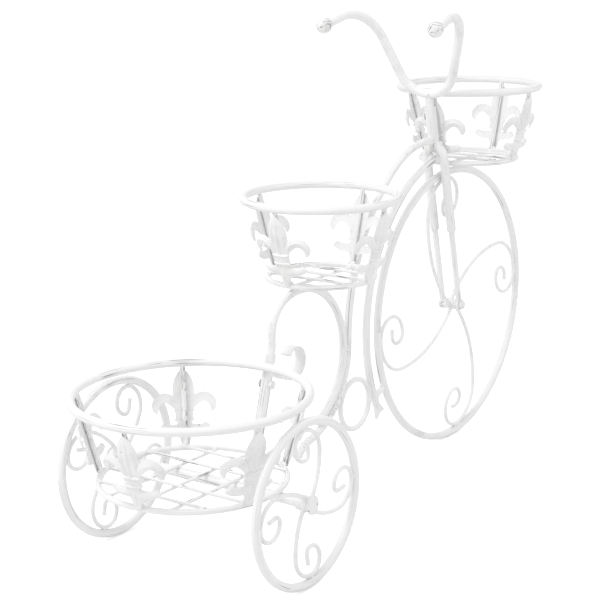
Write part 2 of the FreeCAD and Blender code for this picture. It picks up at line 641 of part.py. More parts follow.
def make_arch_and_post():
    post_top, post_foot, lean = post_line()
    along = (post_top - post_foot).normalize()
    bolt_at = post_top - along * POST_BOLT_DROP
    bolt_hole = cylinder(BOLT_R + FIT_GAP, bolt_at - V(0, 2 * POST_R, 0), bolt_at + V(0, 2 * POST_R, 0))

    post = cylinder(POST_R, post_foot, post_top)
    post = post.cut(cylinder(POST_BORE_R, post_foot - along, post_top + along)).cut(bolt_hole)
    save("rear_post", post)

    centre_x, centre_z = arch_centre()
    plug_foot = post_top - along * ARCH_PLUG
    corner = along * (ARCH_LEG_BEND * math.tan(math.radians(lean) / 2) + 2.0)
    leg_x = (post_top + corner * 2).x
    swing = leg_x + ARCH_SHOULDER_RADIUS - centre_x
    shoulder_z = centre_z + math.sqrt((ARCH_RADIUS - ARCH_SHOULDER_RADIUS) ** 2 - swing ** 2)
    junction = math.degrees(math.atan2(shoulder_z - centre_z, swing))
    route = Route((plug_foot.x, plug_foot.z), 90 - lean)
    rise = math.sin(math.radians(lean)) * ARCH_LEG_BEND
    shift = ARCH_LEG_BEND * (1 - math.cos(math.radians(lean)))
    route.line((leg_x - shift - plug_foot.x) / math.sin(math.radians(lean)))
    route.arc(ARCH_LEG_BEND, lean)
    route.line(shoulder_z - route.z)
    route.arc(ARCH_SHOULDER_RADIUS, junction - 180)
    route.arc(ARCH_RADIUS, ARCH_END_ANGLE - junction)
    arch = sweep(route.wire(), BAR_R)
    save("arch_bar", solid_of(arch.cut(bolt_hole)))

    out = V(0, 1, 0)
    shank = cylinder(BOLT_R, bolt_at - out * (POST_R + NUT_HEIGHT + 1.5), bolt_at + out * POST_R)
    head = round_head(BOLT_HEAD_R, BOLT_HEAD_HEIGHT, bolt_at + out * POST_R, out)
    save("post_bolt", shank.fuse(head).removeSplitter().Solids[0])
    nut = hexagon(NUT_FLATS, NUT_HEIGHT, bolt_at - out * POST_R, out * -1)
    save("post_nut", nut.cut(bolt_hole).cut(shank))

    slope = math.tan(math.radians(lean))
    skin = (POST_R + WELD_GAP) / math.cos(math.radians(lean))
    strip_x = post_top.x - STRIP_START_DROP * slope + skin + SCROLL_STRIP_THICKNESS / 2
    strip_route = Route((strip_x, POST_TOP_Z - STRIP_START_DROP), STRIP_START_LEAN - 90)
    for radius, turn in STRIP_ARCS:
        strip_route.arc(radius, turn)
    half = V(0, SCROLL_STRIP_WIDTH / 2, 0)
    start = strip_route.edges[0].valueAt(strip_route.edges[0].FirstParameter)
    thin = V(SCROLL_STRIP_THICKNESS / 2, 0, 0)
    corners = [start - half - thin, start + half - thin, start + half + thin, start - half + thin]
    profile = Part.makePolygon(corners + corners[:1])
    strip = strip_route.wire().makePipeShell([profile], True, False)
    save("scroll_strip", strip)


# ======================================================= steering and handlebar
def make_fork():
    """Two sleeves, the bridge between them and the two rods that carry the wheel."""
    sleeve_top = HEAD_TUBE_BOTTOM - WELD_GAP
    top_spread = SLEEVE_R + WELD_GAP / 2
    shift = SLEEVE_SPREAD - top_spread
    bend = 2 * math.degrees(math.atan2(shift, SLEEVE_BEND_HEIGHT))
    bend_radius = SLEEVE_BEND_HEIGHT / (2 * math.sin(math.radians(bend)))
    straight = sleeve_top - SLEEVE_BEND_HEIGHT - SLEEVE_BOTTOM
    bridge_axis = (V(0, -SLEEVE_SPREAD, GUARD_RADIUS), V(0, SLEEVE_SPREAD, GUARD_RADIUS))
    bridge = cylinder(BRIDGE_R, *bridge_axis)
    for name, sign in (("left", 1), ("right", -1)):
        route = Route((SLEEVE_SPREAD, SLEEVE_BOTTOM), 90, lambda y, z, s=sign: V(0, s * y, z))
        route.line(straight)
        route.arc(bend_radius, bend)
        route.arc(bend_radius, -bend)
        outer = sweep(route.wire(), SLEEVE_R)
        bridge = bridge.cut(sweep(route.wire(), SLEEVE_R + WELD_GAP))
        bore_foot = V(0, sign * SLEEVE_SPREAD, SLEEVE_BOTTOM - 1.0)
        bore_top = V(0, sign * SLEEVE_SPREAD, SLEEVE_BOTTOM + straight)
        bore = cylinder(FORK_ROD_R + FIT_GAP, bore_foot, bore_top)
        save("fork_sleeve_" + name, steered(solid_of(outer.cut(bore))))

        foot = V(0, sign * SLEEVE_SPREAD, 0)
        rod = cylinder(FORK_ROD_R, foot, foot + V(0, 0, SLEEVE_BOTTOM + FORK_ROD_DEPTH))
        lug_half = V(0, LUG_THICKNESS / 2, 0)
        lug = cylinder(LUG_R, foot - lug_half, foot + lug_half)
        clear = V(0, 2 * FORK_ROD_R, 0)
        keep = Part.makeBox(4 * LUG_R, LUG_THICKNESS, 2 * LUG_R, foot - lug_half - V(2 * LUG_R, 0, LUG_R))
        low = rod.common(keep)
        high = rod.cut(Part.makeBox(4 * LUG_R, 8 * FORK_ROD_R, 2 * LUG_R,
                                    foot - V(2 * LUG_R, 4 * FORK_ROD_R, LUG_R)))
        rod = high.fuse([low, lug]).removeSplitter()
        rod = rod.cut(cylinder(FRONT_AXLE_R + FIT_GAP, foot - clear, foot + clear))
        save("fork_rod_" + name, steered(solid_of(rod)))
    save("fork_bridge", steered(solid_of(bridge)))

    out = V(0, 1, 0)
    outer_face = SLEEVE_SPREAD + LUG_THICKNESS / 2 + WELD_GAP
    shank = cylinder(FRONT_AXLE_R, out * -(outer_face + NUT_HEIGHT + 1.5), out * outer_face)
    head = round_head(BOLT_HEAD_R, BOLT_HEAD_HEIGHT, out * outer_face, out)
    save("front_axle_bolt", steered(shank.fuse(head).removeSplitter().Solids[0]))
    nut = hexagon(NUT_FLATS + 1.0, NUT_HEIGHT, out * -outer_face, out * -1)
    save("front_axle_nut", steered(nut.cut(shank)))


def make_head_tube():
    """Head tube with its locking screw."""
    tube_foot = V(0, 0, HEAD_TUBE_BOTTOM)
    tube_top = V(0, 0, HEAD_TUBE_BOTTOM + HEAD_TUBE_LENGTH)
    screw_at = tube_top - V(0, 0, HEAD_SCREW_DROP)
    out = V(0, 1, 0)
    screw_hole = cylinder(BOLT_R + FIT_GAP, screw_at, screw_at + out * (2 * HEAD_TUBE_R))
    tube = cylinder(HEAD_TUBE_R, tube_foot, tube_top)
    tube = tube.cut(cylinder(STEM_R + FIT_GAP, tube_foot, tube_top)).cut(screw_hole)
    tube = steered(tube)
    save("head_tube", tube)

    shank_foot = screw_at + out * (STEM_R + WELD_GAP)
    shank = cylinder(BOLT_R, shank_foot, screw_at + out * (HEAD_TUBE_R + WELD_GAP))
    head = round_head(BOLT_HEAD_R, BOLT_HEAD_HEIGHT, screw_at + out * (HEAD_TUBE_R + WELD_GAP), out)
    save("head_screw", steered(shank.fuse(head).removeSplitter().Solids[0]))

    return tube


def make_handlebar(ring_x, ring_z):
    """Bent handlebar that rests against the front basket's top ring, its stem and its knobs."""
    tube_top = V(0, 0, HEAD_TUBE_BOTTOM + HEAD_TUBE_LENGTH)
    handle_axis = V(0, 0, HANDLE_BOTTOM)
    middle = steered(Part.Vertex(handle_axis)).Point
    reach = HANDLE_R + BAR_R + WELD_GAP
    middle.x = ring_x - math.sqrt(reach ** 2 - (ring_z - middle.z) ** 2)
    half_base = V(0, HANDLE_HALF_BASE, 0)
    corners = [HUB + V(*HANDLE_END), HUB + V(*HANDLE_CORNER), middle + half_base]
    flip = [V(point.x, -point.y, point.z) for point in reversed(corners)]
    bends = (HANDLE_TOP_BEND, HANDLE_BASE_BEND, HANDLE_BASE_BEND, HANDLE_TOP_BEND)
    route = rounded_wire(corners + flip, bends)
    save("handlebar", sweep(route, HANDLE_R))

    stem = cylinder(STEM_R, tube_top - V(0, 0, STEM_DEPTH), handle_axis)
    clear = cylinder(HANDLE_R + WELD_GAP, middle - half_base, middle + half_base)
    save("stem", solid_of(steered(stem).cut(clear)))

    for name, end, corner in (("left", corners[0], corners[1]), ("right", flip[-1], flip[-2])):
        save("handle_knob_" + name, knob(end, corner - end))


def knob(centre, inward):
    """Ball turned in one piece with the socket that takes the handlebar's end."""
    socket_r = HANDLE_R + FIT_GAP
    mouth = V(socket_r, 0, math.sqrt(KNOB_R ** 2 - socket_r ** 2))
    bottom = V(socket_r, 0, -WELD_GAP)
    middle = V(0, 0, -WELD_GAP)
    pole = V(0, 0, -KNOB_R)
    edges = [
        Part.Arc(pole, V(KNOB_R, 0, 0), mouth).toShape(),
        Part.makeLine(mouth, bottom),
        Part.makeLine(bottom, middle),
        Part.makeLine(middle, pole),
    ]
    ball = Part.Face(Part.Wire(edges)).revolve(V(0, 0, 0), V(0, 0, 1), 360)
    ball.Placement = FreeCAD.Placement(centre, FreeCAD.Rotation(V(0, 0, 1), inward))
    return ball


make_front_wheel()
make_rear_wheel("left", 1)
make_rear_wheel("right", -1)
make_rear_axle()
make_fork()
HEAD_TUBE = make_head_tube()
NECK_SEAT = steered(Part.makeCylinder(HEAD_TUBE_R + WELD_GAP, HEAD_TUBE_LENGTH + SLEEVE_R,
                                      V(0, 0, HEAD_TUBE_BOTTOM - SLEEVE_R)))
BACKBONE = make_backbone(NECK_SEAT)
make_guard()
make_brace_ring()
make_ties()
make_arch_and_post()

SMALL_SIZES = (SMALL_TOP_RADIUS, SMALL_FLOOR_RADIUS,
               SMALL_CROSS_WIRES, SMALL_LONG_WIRES, SMALL_FLEUR_ANGLES)
LARGE_SIZES = (LARGE_TOP_RADIUS, LARGE_FLOOR_RADIUS,
               LARGE_CROSS_WIRES, LARGE_LONG_WIRES, LARGE_FLEUR_ANGLES)
front_basket = basket(FRONT_BASKET_Z, *SMALL_SIZES)
front_x = seated_x(front_basket, FRONT_HUB_X + SMALL_TOP_RADIUS, -1, HEAD_TUBE)
place_basket("front", front_basket, front_x)
make_handlebar(front_x - SMALL_TOP_RADIUS, FRONT_BASKET_Z + BASKET_HEIGHT)

middle_basket = basket(arch_centre()[1] + ARCH_RADIUS + BAR_R + WELD_GAP + RING_R, *SMALL_SIZES)
middle_x = seated_x(middle_basket, AXLE_X, 1, BACKBONE)
place_basket("middle", middle_basket, middle_x)
place_basket("rear", basket(LARGE_Z, *LARGE_SIZES), LARGE_X)
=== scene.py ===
"""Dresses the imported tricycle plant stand.

Antique white paint on every bar, cast fleur-de-lis plates, weld beads and a plain white studio.
"""
import json
import math

import bpy
from mathutils import Matrix, Vector, geometry
from mathutils.bvhtree import BVHTree


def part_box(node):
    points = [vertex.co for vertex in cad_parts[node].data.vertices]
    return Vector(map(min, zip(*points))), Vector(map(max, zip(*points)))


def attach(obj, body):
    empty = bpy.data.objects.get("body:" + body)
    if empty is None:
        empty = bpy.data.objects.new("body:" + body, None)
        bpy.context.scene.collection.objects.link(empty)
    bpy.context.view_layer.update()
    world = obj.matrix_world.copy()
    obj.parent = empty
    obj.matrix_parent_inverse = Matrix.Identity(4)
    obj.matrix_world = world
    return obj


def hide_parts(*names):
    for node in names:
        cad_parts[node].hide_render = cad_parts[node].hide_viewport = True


bl_info = {
    "name": "Tricycle plant stand",
    "version": (1, 0, 0),
    "blender": (4, 5, 0),
    "location": "3D View > Sidebar > Plant stand",
    "description": "Paints the stand, casts its plates, adds its welds and sets the studio",
    "category": "Object",
}

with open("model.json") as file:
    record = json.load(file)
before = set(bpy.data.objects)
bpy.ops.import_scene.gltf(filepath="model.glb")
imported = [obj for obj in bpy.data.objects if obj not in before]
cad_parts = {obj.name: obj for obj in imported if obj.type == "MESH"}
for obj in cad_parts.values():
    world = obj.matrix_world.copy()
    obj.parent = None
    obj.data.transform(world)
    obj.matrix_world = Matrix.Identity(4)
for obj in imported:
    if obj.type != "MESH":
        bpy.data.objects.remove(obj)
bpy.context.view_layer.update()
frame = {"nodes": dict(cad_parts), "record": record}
NODES = frame["nodes"]
MM = 0.001


def middle(node):
    low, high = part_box(node)
    return (Vector(low) + Vector(high)) / 2


def size(node):
    low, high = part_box(node)
    return Vector(high) - Vector(low)


def rod_ends(basket):
    """Foot and head of a basket's rod that stands at +X, from the basket's axis."""
    ends = []
    for ring in ("_basket_floor_ring", "_basket_top_ring"):
        whole = size(basket + ring)
        ends.append(Vector((whole.x / 2 - whole.z / 2, 0, middle(basket + ring).z)))
    return ends


FRONT_HUB = middle("front_rim")
REAR_HUB = middle("rear_axle")
BASKETS = ("front", "middle", "rear")
PLATE_ANGLES = {
    "front": (180.0, 270.0, 0.0, 90.0),
    "middle": (180.0, 270.0, 0.0, 90.0),
    "rear": (188.0, 252.0, 324.0, 44.0, 116.0),
}
ROD_R = 0.003
PLATE_SEAT = 0.0001         # between a rod and the back of its plate
PLATE_TIP_DROP = 0.0065     # petal tip below the middle of the top ring, along the rod
ARCH_BEHIND_HUB = 0.3541    # middle of the arch bar's bow, behind the front hub
POST_LEAN = math.radians(-16.1)
FORK_LEAN = math.radians(12.0)

# Stations of the cast plate's forms: across, up, half width and half depth, in mm from the tip.
LEAF = ((0, -54, 8.0, 2.6), (0, -46, 9.5, 3.0), (0, -36, 12.4, 3.3), (0, -24, 14.3, 3.2),
        (0, -13, 11.4, 2.6), (0, -5, 6.2, 1.9), (0, -0.6, 1.2, 1.0))
LEAF_RIDGE = ((0, -51, 2.6, 5.6), (0, -38, 2.5, 5.6), (0, -24, 2.0, 5.0), (0, -12, 1.4, 3.8),
              (0, -4, 0.8, 2.2))
LEAF_FLUTE = ((5.6, -49, 1.5, 3.7), (7.8, -36, 1.7, 4.3), (8.2, -24, 1.5, 4.0), (5.6, -13, 1.1, 3.1),
              (2.0, -6, 0.7, 2.2))
LOBE = ((5, -50, 4.0, 2.6), (10.5, -42.5, 5.6, 3.1), (16.5, -36.5, 6.3, 3.7), (24.0, -33.8, 6.4, 4.0),
        (31.0, -36.6, 6.3, 3.9), (35.4, -43.2, 5.6, 3.4), (34.9, -49.3, 3.6, 2.7),
        (32.4, -53.4, 1.6, 1.6))
LOBE_RIDGE = ((9, -45, 1.4, 4.6), (16.5, -35.5, 1.6, 5.2), (24.0, -32.4, 1.6, 5.4),
              (31.8, -35.4, 1.5, 5.1), (36.6, -43.0, 1.3, 4.3), (35.8, -49.0, 0.9, 3.2))
FOOT = ((0, -71.5, 6.6, 2.8), (8, -72.0, 6.2, 3.2), (15.5, -72.8, 5.4, 3.6), (22.0, -72.0, 5.2, 3.9),
        (26.4, -69.9, 5.0, 3.9), (28.8, -67.4, 4.6, 3.5))
TAIL = ((0, -60, 9.4, 2.8), (0, -72, 9.8, 3.2), (0, -79, 8.2, 3.1), (0, -86, 5.8, 2.8),
        (0, -94.4, 4.2, 2.2))
TAIL_RIDGE = ((0, -68, 2.0, 5.2), (0, -79, 1.8, 4.8), (0, -90, 1.4, 3.8))
BAND = ((-11, -56.5, 6.2, 3.4), (-5, -56.5, 6.6, 4.1), (5, -56.5, 6.6, 4.1), (11, -56.5, 6.2, 3.4))
BAND_RIBS = (-51.3, -61.7)
RIM_BEVEL = 0.0002
RIM_ANGLE = 1.0             # radians; only the plate's rim turns more sharply
WELD_RIM = 1e-6             # the front and the back of a plate meet at its rim


# ----------------------------------------------------------------- properties
class PaintSettings(bpy.types.PropertyGroup):
    paint: bpy.props.FloatVectorProperty(
        name="Paint", description="Antique white of the whole stand",
        subtype="COLOR", size=3, min=0, max=1, default=(0.88, 0.88, 0.88))
    wash: bpy.props.FloatVectorProperty(
        name="Grey wash", description="Grey that is brushed over edges and hollows",
        subtype="COLOR", size=3, min=0, max=1, default=(0.20, 0.195, 0.19))
    wear: bpy.props.FloatProperty(
        name="Wear", description="How much of the bars the grey brushing covers",
        subtype="FACTOR", min=0, max=1, default=0.5)
    orange_peel: bpy.props.FloatProperty(
        name="Unevenness", description="Depth of the brushed paint's unevenness",
        subtype="DISTANCE", unit="LENGTH", min=0, default=0.00025)


class PlateSettings(bpy.types.PropertyGroup):
    grain: bpy.props.FloatProperty(
        name="Casting grain", description="Mesh size that the cast forms are merged at",
        subtype="DISTANCE", unit="LENGTH", min=0.0004, default=0.00085)
    hollow: bpy.props.FloatProperty(
        name="Hollow back", description="Relief of the plate's back, as a share of its front",
        subtype="FACTOR", min=0.0, max=0.3, default=0.12)
    bend_radius: bpy.props.FloatProperty(
        name="Bend radius", description="Radius that a plate is bent to",
        subtype="DISTANCE", unit="LENGTH", min=0.03, default=0.100)


class WeldSettings(bpy.types.PropertyGroup):
    bead: bpy.props.FloatProperty(
        name="Bead", description="Radius of a weld bead between two bars",
        subtype="DISTANCE", unit="LENGTH", min=0.001, default=0.0030)
    reach: bpy.props.FloatProperty(
        name="Reach", description="Two pieces that come this near each other are welded",
        subtype="DISTANCE", unit="LENGTH", min=0.0001, default=0.0004)


class StudioSettings(bpy.types.PropertyGroup):
    lens: bpy.props.FloatProperty(
        name="Lens", description="Focal length on a 36 mm wide film",
        subtype="DISTANCE_CAMERA", min=10, default=95.09)
    sky: bpy.props.FloatProperty(
        name="Sky", description="Strength of the even light from all round", min=0, default=0.81)
    key: bpy.props.FloatProperty(
        name="Key light", description="Power of the large lamp above the camera's left",
        subtype="POWER", unit="POWER", min=0, default=26.0)


# ------------------------------------------------------------------ modelling
def deselect():
    if bpy.context.object and bpy.context.object.mode != "OBJECT":
        bpy.ops.object.mode_set(mode="OBJECT")
    bpy.ops.object.select_all(action="DESELECT")


def pick(*objects):
    deselect()
    for thing in objects:
        thing.select_set(True)
    bpy.context.view_layer.objects.active = objects[0]


def apply_modifier(thing, kind, **values):
    pick(thing)
    modifier = thing.modifiers.new(kind.title(), kind)
    for key, value in values.items():
        setattr(modifier, key, value)
    bpy.ops.object.modifier_apply(modifier=modifier.name)


def grow(stations):
    """A swelling, tapering form drawn out of a disc, station by station, in the XZ plane."""
    deselect()
    places = [Vector((x, 0, z)) * MM for x, z, _, _ in stations]
    headings = []
    for i, place in enumerate(places):
        way = places[min(i + 1, len(places) - 1)] - places[max(i - 1, 0)]
        headings.append(math.atan2(way.x, way.z))
    bpy.ops.mesh.primitive_circle_add(vertices=16, radius=1.0, fill_type="NGON")
    thing = bpy.context.object
    first = Matrix.LocRotScale(places[0], Matrix.Rotation(headings[0], 3, "Y").to_quaternion(),
                               Vector((stations[0][2], stations[0][3], 1.0)) * MM)
    thing.matrix_world = first
    bpy.ops.object.transform_apply(location=True, rotation=True, scale=True)
    bpy.ops.object.mode_set(mode="EDIT")
    bpy.ops.mesh.select_all(action="SELECT")
    for i in range(1, len(places)):
        step = places[i] - places[i - 1]
        wide = stations[i][2] / stations[i - 1][2]
        deep = stations[i][3] / stations[i - 1][3]
        bpy.ops.mesh.extrude_region_move(TRANSFORM_OT_translate={"value": step})
        bpy.ops.transform.rotate(value=headings[i - 1] - headings[i], orient_axis="Y",
                                 center_override=places[i])
        bpy.ops.transform.resize(value=(wide, deep, wide), center_override=places[i])
    bpy.ops.mesh.select_all(action="SELECT")
    bpy.ops.mesh.normals_make_consistent(inside=False)
    bpy.ops.object.mode_set(mode="OBJECT")
    return thing


def mirrored(thing):
    apply_modifier(thing, "MIRROR", use_axis=(True, False, False), use_mirror_merge=False)
    return thing


def rib(height):
    """A raised band across the plate, thicker in its middle."""
    return grow([(-12.0, height, 1.4, 4.2), (-9.5, height, 2.2, 5.0), (0, height, 2.4, 5.6),
                 (9.5, height, 2.2, 5.0), (12.0, height, 1.4, 4.2)])


def cast_plate(settings):
    """One plate, its petal tip at the origin and the rim of its back at Y = 0, bent round the basket."""
    forms = [grow(LEAF), grow(LEAF_RIDGE), grow(TAIL), grow(TAIL_RIDGE), grow(BAND)]
    forms += [mirrored(grow(part)) for part in (LEAF_FLUTE, LOBE, LOBE_RIDGE, FOOT)]
    forms += [rib(height) for height in BAND_RIBS]
    pick(*forms)
    bpy.ops.object.join()
    plate = bpy.context.object
    apply_modifier(plate, "SUBSURF", levels=1, render_levels=1)
    apply_modifier(plate, "REMESH", mode="VOXEL", voxel_size=settings.grain)
    apply_modifier(plate, "SMOOTH", factor=0.5, iterations=4)
    pick(plate)
    bpy.ops.object.mode_set(mode="EDIT")
    bpy.ops.mesh.select_all(action="SELECT")
    bpy.ops.mesh.bisect(plane_co=(0, 0, 0), plane_no=(0, 1, 0), clear_inner=True)
    bpy.ops.mesh.select_all(action="SELECT")
    bpy.ops.mesh.duplicate()
    bpy.ops.transform.resize(value=(1.0, settings.hollow, 1.0), center_override=(0, 0, 0))
    bpy.ops.mesh.flip_normals()
    bpy.ops.mesh.select_all(action="SELECT")
    bpy.ops.mesh.remove_doubles(threshold=WELD_RIM)
    bpy.ops.object.mode_set(mode="OBJECT")
    apply_modifier(plate, "BEVEL", width=RIM_BEVEL, segments=1, limit_method="ANGLE",
                   angle_limit=RIM_ANGLE)
    wide = plate.dimensions.x
    apply_modifier(plate, "SIMPLE_DEFORM", deform_method="BEND", deform_axis="Z",
                   angle=-wide / settings.bend_radius)
    pick(plate)
    bpy.ops.object.shade_smooth_by_angle(angle=math.radians(50))
    return plate


# ------------------------------------------------------------------ materials
class Shader:
    """A material that is built node by node, each call giving the new node's output."""

    def __init__(self, name):
        self.material = bpy.data.materials.new(name)
        self.material.use_nodes = True
        self.tree = self.material.node_tree
        self.surface = self.tree.nodes["Principled BSDF"]

    def node(self, kind, output=0, inputs=(), **values):
        made = self.tree.nodes.new(kind)
        for key, value in values.items():
            setattr(made, key, value)
        for key, value in dict(inputs).items():
            if isinstance(value, bpy.types.NodeSocket):
                self.tree.links.new(value, made.inputs[key])
            else:
                made.inputs[key].default_value = value
        return made.outputs[output]

    def math(self, operation, a, b=0.0):
        return self.node("ShaderNodeMath", inputs={0: a, 1: b}, operation=operation)

    def noise(self, vector, scale, detail=2.0, rough=0.5):
        return self.node("ShaderNodeTexNoise", inputs={"Vector": vector, "Scale": scale,
                                                       "Detail": detail, "Roughness": rough})

    def window(self, value, low, high, to_low=0.0, to_high=1.0):
        """Maps low..high of a value onto to_low..to_high, and holds it there outside."""
        return self.node("ShaderNodeMapRange", inputs={"Value": value, "From Min": low, "From Max": high,
                                                       "To Min": to_low, "To Max": to_high})

    def blend(self, factor, a, b):
        made = self.tree.nodes.new("ShaderNodeMix")
        made.data_type = "RGBA"
        for key, value in ((0, factor), (6, a), (7, b)):
            if isinstance(value, bpy.types.NodeSocket):
                self.tree.links.new(value, made.inputs[key])
            else:
                made.inputs[key].default_value = value
        return made.outputs[2]

    def feed(self, **sockets):
        for key, value in sockets.items():
            socket = self.surface.inputs[key.replace("_", " ")]
            if isinstance(value, bpy.types.NodeSocket):
                self.tree.links.new(value, socket)
            else:
                socket.default_value = value


# Marks per metre.
ALONG = 9.0             # along a bar
ACROSS = 850.0          # across a bar
LEVEL_ALONG = 26.0      # along a wire that lies level
LEVEL_ACROSS = 595.0    # over its height
EVERY_WAY = 170.0       # on curls and castings


def straight_flow(shader, lean=0.0, upright=True):
    """Coordinates that are short along a bar, so marks on them come out long."""
    place = shader.node("ShaderNodeTexCoord", output=3)
    stood = shader.node("ShaderNodeMapping", inputs={"Vector": place, "Rotation": (0.0, lean, 0.0)})
    scale = (ACROSS, ACROSS, ALONG) if upright else (ACROSS, ALONG, ACROSS)
    return shader.node("ShaderNodeMapping", inputs={"Vector": stood, "Scale": scale})


def level_flow(shader):
    """Coordinates for wires that lie level, whichever way they run."""
    place = shader.node("ShaderNodeTexCoord", output=3)
    return shader.node("ShaderNodeMapping", inputs={"Vector": place, "Scale": (
        LEVEL_ALONG, LEVEL_ALONG, LEVEL_ACROSS)})


def round_flow(shader, centre, axis, slope=None):
    """Coordinates that run round a ring, or with a slope up the leaning rods of a basket."""
    place = shader.node("ShaderNodeTexCoord", output=3)
    from_centre = shader.node("ShaderNodeVectorMath", inputs={0: place, 1: centre}, operation="SUBTRACT")
    split = shader.node("ShaderNodeSeparateXYZ", inputs={0: from_centre}).node.outputs
    a, b, c = (split[0], split[1], split[2]) if axis == "Z" else (split[0], split[2], split[1])
    radius = shader.math("SQRT", shader.math("ADD", shader.math("MULTIPLY", a, a),
                                             shader.math("MULTIPLY", b, b)))
    arc = shader.math("MULTIPLY", shader.math("ARCTAN2", b, a), radius)
    along, across = arc, c
    if slope is not None:
        radius = shader.math("SUBTRACT", radius, shader.math("MULTIPLY", c, slope))
        along, across = c, arc
    return shader.node("ShaderNodeCombineXYZ", inputs={
        0: shader.math("MULTIPLY", along, ALONG), 1: shader.math("MULTIPLY", radius, ACROSS),
        2: shader.math("MULTIPLY", across, ACROSS)})


def spot_flow(shader):
    """Coordinates with no direction, for curls and castings."""
    place = shader.node("ShaderNodeTexCoord", output=3)
    return shader.node("ShaderNodeMapping", inputs={"Vector": place, "Scale": (
        EVERY_WAY, EVERY_WAY, EVERY_WAY)})


# Tints of the paint: as it is, faintly yellowed, and brushed dull.
FRESH = (1.0, 1.0, 1.0)
WARM = (0.985, 0.982, 0.978)
DULL = (0.88, 0.88, 0.88)
# How strongly the grey wash covers the paint, and how dark the painted shade in the plates' hollows is.
HAIRLINE = 0.78
PIT = 0.16
# Painted shade: how dark the grey laid into the plates' hollows gets.
HOLLOW_SHADE = 0.34
CREST = 0.18


def antique_white(name, settings, flow, wear=1.0, hollows=False):
    """Brushed antique white with long grey hairlines, a faint mottle and an uneven surface; with
    hollows, painted shade in a plate's hollows and grey rubbed on its crests as wear.
    """
    shader = Shader(name)
    place = shader.node("ShaderNodeTexCoord", output=3)
    marks = flow(shader)
    wash = (*settings.wash, 1.0)
    paint, warm, dull = ((*(a * b for a, b in zip(settings.paint, tint)), 1.0)
                         for tint in (FRESH, WARM, DULL))

    cloud = shader.noise(place, 28.0, 3.0)
    colour = shader.blend(shader.window(cloud, 0.42, 0.66), paint, warm)
    brushed = shader.noise(marks, 0.30, 4.0, 0.65)
    colour = shader.blend(shader.window(brushed, 0.48, 0.70, 0.0, 0.9), colour, dull)

    limit = 0.80 - 0.31 * settings.wear * wear      # more wear lets more of the noise through
    where = shader.noise(place, 19.0, 2.0)
    hair = shader.math("ADD", shader.noise(marks, 1.0, 2.0, 0.55),
                       shader.window(where, 0.35, 0.70, -0.08, 0.07))
    rubbed = shader.window(hair, limit, limit + 0.06)
    colour = shader.blend(shader.math("MULTIPLY", rubbed, HAIRLINE), colour, wash)
    speck = shader.node("ShaderNodeTexVoronoi", inputs={"Vector": place, "Scale": 420.0})
    pits = shader.math("MULTIPLY", shader.window(speck, 0.16, 0.07),
                       shader.window(where, 0.54, 0.66))
    colour = shader.blend(shader.math("MULTIPLY", pits, PIT), colour, wash)
    if hollows:
        # Painted shade: the plate's most enclosed hollows are greyed towards the wash colour, darkest
        # where least open to the air.
        open_air = shader.math("SQRT", shader.node("ShaderNodeAttribute", output=2,
                                                   attribute_name="hollow"))
        deep = shader.window(open_air, 0.21, 0.08)
        uneven = shader.window(shader.noise(place, 220.0, 2.0), 0.34, 0.62, 0.30, 1.0)
        colour = shader.blend(shader.math("MULTIPLY", shader.math("MULTIPLY", deep, uneven), HOLLOW_SHADE),
                              colour, wash)
        crest = shader.math("MULTIPLY", shader.window(open_air, 0.50, 0.80),
                            shader.window(where, 0.45, 0.6))
        colour = shader.blend(shader.math("MULTIPLY", crest, CREST), colour, wash)

    grain = shader.noise(place, 900.0, 3.0, 0.6)
    height = shader.math("ADD", shader.math("MULTIPLY", grain, 0.3),
                         shader.math("MULTIPLY", brushed, 0.5))
    height = shader.math("SUBTRACT", height, shader.math("MULTIPLY", rubbed, 0.3))
    bump = shader.node("ShaderNodeBump", inputs={"Height": height, "Strength": 0.6,
                                                 "Distance": settings.orange_peel})
    rough = shader.math("ADD", shader.window(brushed, 0.3, 0.7, 0.38, 0.52),
                        shader.math("MULTIPLY", rubbed, 0.18))
    shader.feed(Base_Color=colour, Roughness=rough, Normal=bump, IOR=1.48)
    return shader.material


def scored_knob(name, settings):
    """The same paint over a ball that is scored all over, grey in the scores."""
    shader = Shader(name)
    place = shader.node("ShaderNodeTexCoord", output=3)
    bent = shader.node("ShaderNodeVectorMath", operation="ADD", inputs={
        0: place, 1: shader.node("ShaderNodeVectorMath", operation="SCALE", inputs={
            0: shader.node("ShaderNodeTexNoise", output=1, inputs={"Vector": place, "Scale": 90.0}),
            "Scale": 0.012})})
    lines = shader.node("ShaderNodeTexWave", output=1, wave_type="BANDS", bands_direction="DIAGONAL",
                        inputs={"Vector": bent, "Scale": 95.0, "Distortion": 3.0, "Detail": 2.0})
    scores = shader.window(lines, 0.22, 0.04)
    patch = shader.window(shader.noise(place, 130.0, 3.0), 0.42, 0.60)
    dark = shader.math("MULTIPLY", scores, patch)
    colour = shader.blend(shader.window(shader.noise(place, 60.0), 0.4, 0.65),
                          (*settings.paint, 1.0), (0.76, 0.76, 0.755, 1.0))
    colour = shader.blend(shader.math("MULTIPLY", dark, 0.8), colour, (*settings.wash, 1.0))
    bump = shader.node("ShaderNodeBump", inputs={"Height": shader.math("MULTIPLY", scores, -1.0),
                                                 "Strength": 0.8, "Distance": 0.0005})
    rough = shader.window(dark, 0.0, 1.0, 0.42, 0.65)
    shader.feed(Base_Color=colour, Roughness=rough, Normal=bump, IOR=1.48)
    return shader.material


def dress(names, material):
    for name in names:
        slots = NODES[name].material_slots
        if not slots:
            raise RuntimeError(name + " has no material slot")
        for slot in slots:
            slot.material = material


